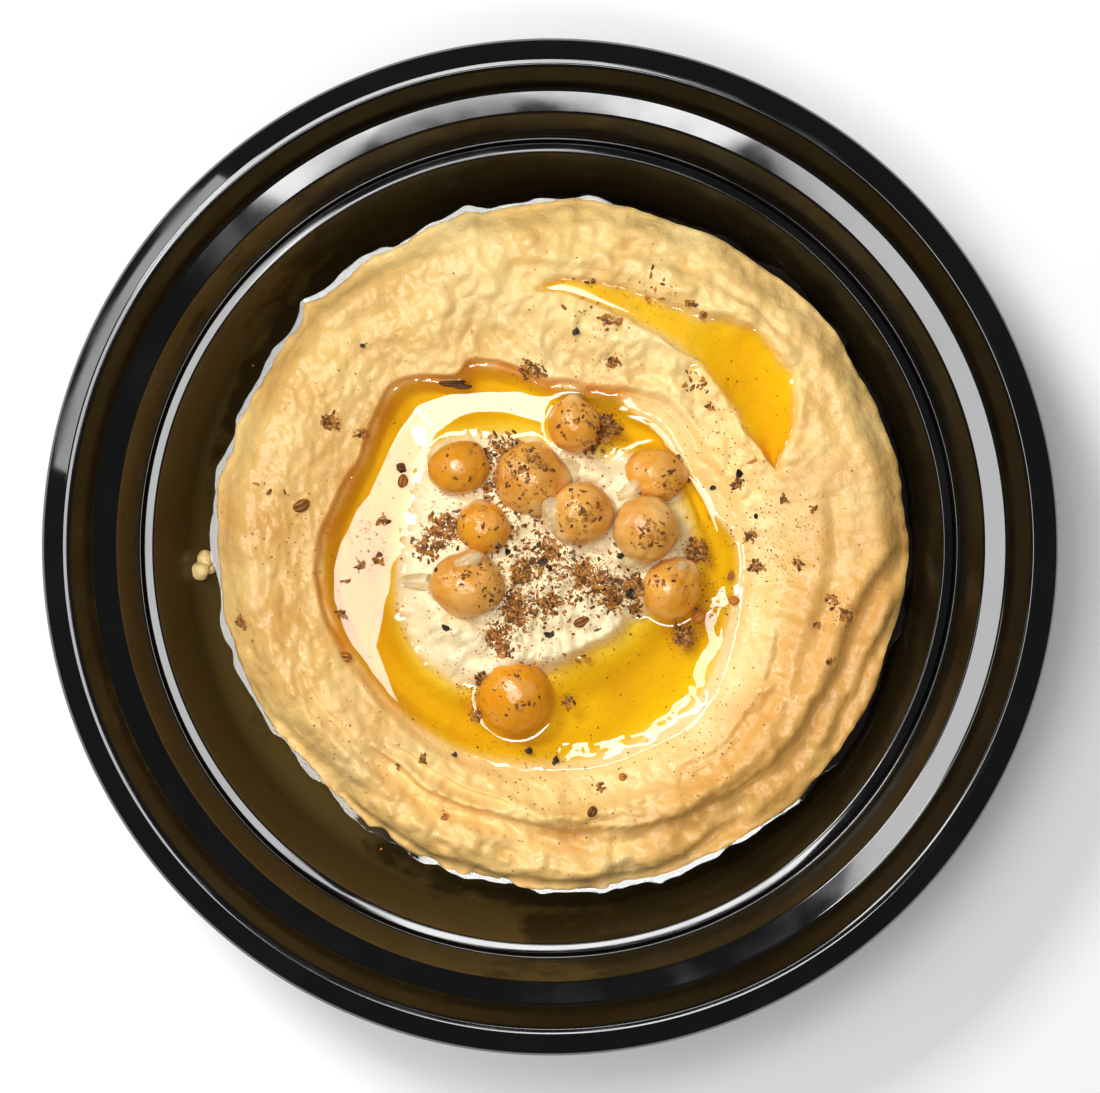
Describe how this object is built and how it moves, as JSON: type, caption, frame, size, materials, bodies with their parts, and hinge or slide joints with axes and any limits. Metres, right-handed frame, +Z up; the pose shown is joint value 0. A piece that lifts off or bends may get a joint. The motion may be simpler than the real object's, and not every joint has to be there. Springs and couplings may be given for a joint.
{
  "type": "hummus in a takeaway bowl",
  "caption": "Round black plastic takeaway bowl holding a smooth spooned dip with an oil-filled well, a crescent of oil and whole chickpeas.",
  "frame": {"origin": "on the bowl's axis, at the level of its foot ring, where it meets the table", "axes": "+Z up out of the bowl, -Y towards the person served, +X to that person's right"},
  "size_m": [0.184, 0.184, 0.045],
  "materials": {
    "bowl": "polished black, thin walled",
    "hummus": "moist and smooth, softly glossy",
    "oil": "clear golden liquid, mirror smooth",
    "chickpea": "cooked, oiled skin"
  },
  "bodies": {
    "root": {"bowl": "bowl", "hummus": "hummus", "oil_well": "oil", "oil_crescent": "oil", "chickpea_01": "chickpea", "chickpea_02": "chickpea", "chickpea_03": "chickpea", "chickpea_04": "chickpea", "chickpea_05": "chickpea", "chickpea_06": "chickpea", "chickpea_07": "chickpea", "chickpea_08": "chickpea", "chickpea_09": "chickpea", "chickpea_10": "chickpea"}
  },
  "joints": []
}
